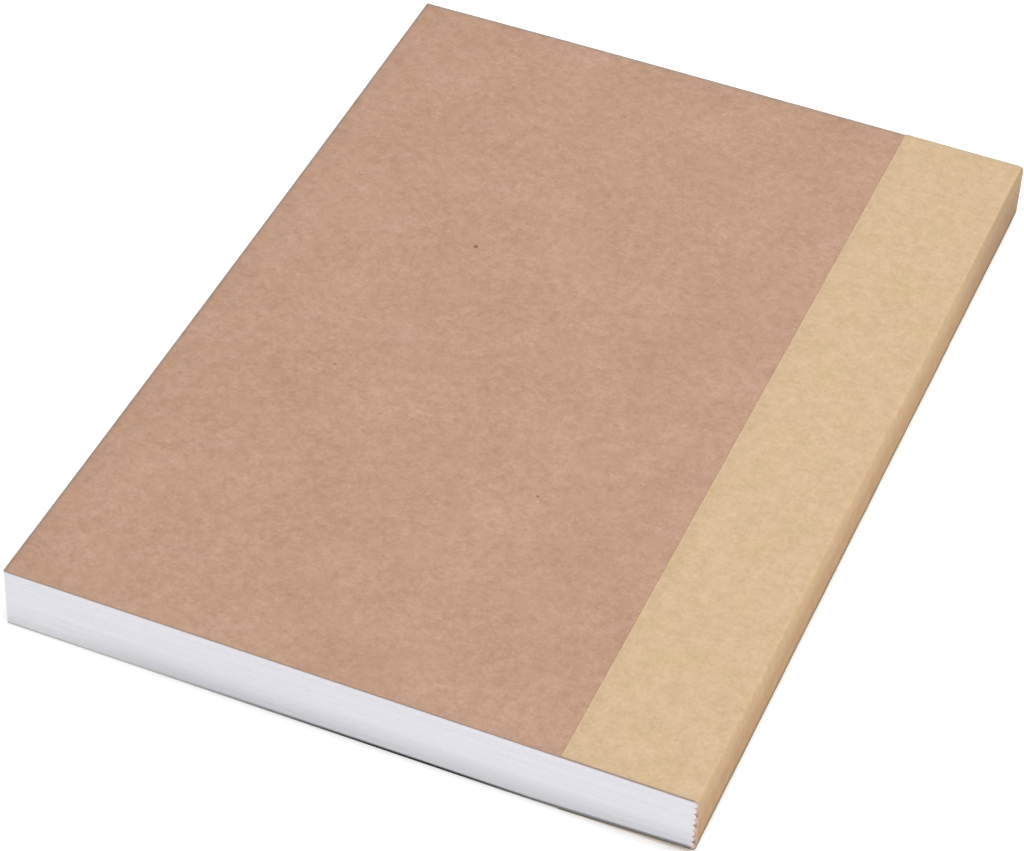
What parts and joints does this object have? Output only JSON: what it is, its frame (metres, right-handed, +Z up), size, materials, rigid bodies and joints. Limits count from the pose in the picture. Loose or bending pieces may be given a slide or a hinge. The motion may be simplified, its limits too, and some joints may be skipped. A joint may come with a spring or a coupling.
{
  "type": "softcover notebook",
  "caption": "Softcover A5 notebook: sewn page block between two kraft card covers that open on hinge lines, with a paper strip wrapped round the spine.",
  "frame": {"origin": "centre of the notebook's footprint, on the surface that the back cover lies on", "axes": "+X across the width towards the spine, +Y along the height towards the head, +Z up through the thickness to the front cover"},
  "size_m": [0.148, 0.21, 0.0153],
  "materials": {
    "kraft_card": "matte",
    "strip_paper": "matte",
    "page_paper": "matte",
    "binding_glue": "matte",
    "linen_thread": "matte"
  },
  "bodies": {
    "block": {"page_block": "page_paper", "sewing_thread": "linen_thread", "spine_glue": "binding_glue", "spine_strip": "strip_paper"},
    "front": {"front_cover": "kraft_card", "front_strip_leaf": "strip_paper"},
    "back": {"back_cover": "kraft_card", "back_strip_leaf": "strip_paper"}
  },
  "joints": [
    {"name": "front_cover_hinge", "type": "hinge", "parent": "block", "child": "front", "pos_m": [0.0728, 0, 0.01528], "axis": [0, 1, 0], "range_deg": [0, 180]},
    {"name": "back_cover_hinge", "type": "hinge", "parent": "block", "child": "back", "pos_m": [0.07304, 0, 0.00126], "axis": [0, -1, 0], "range_deg": [0, 180]}
  ]
}
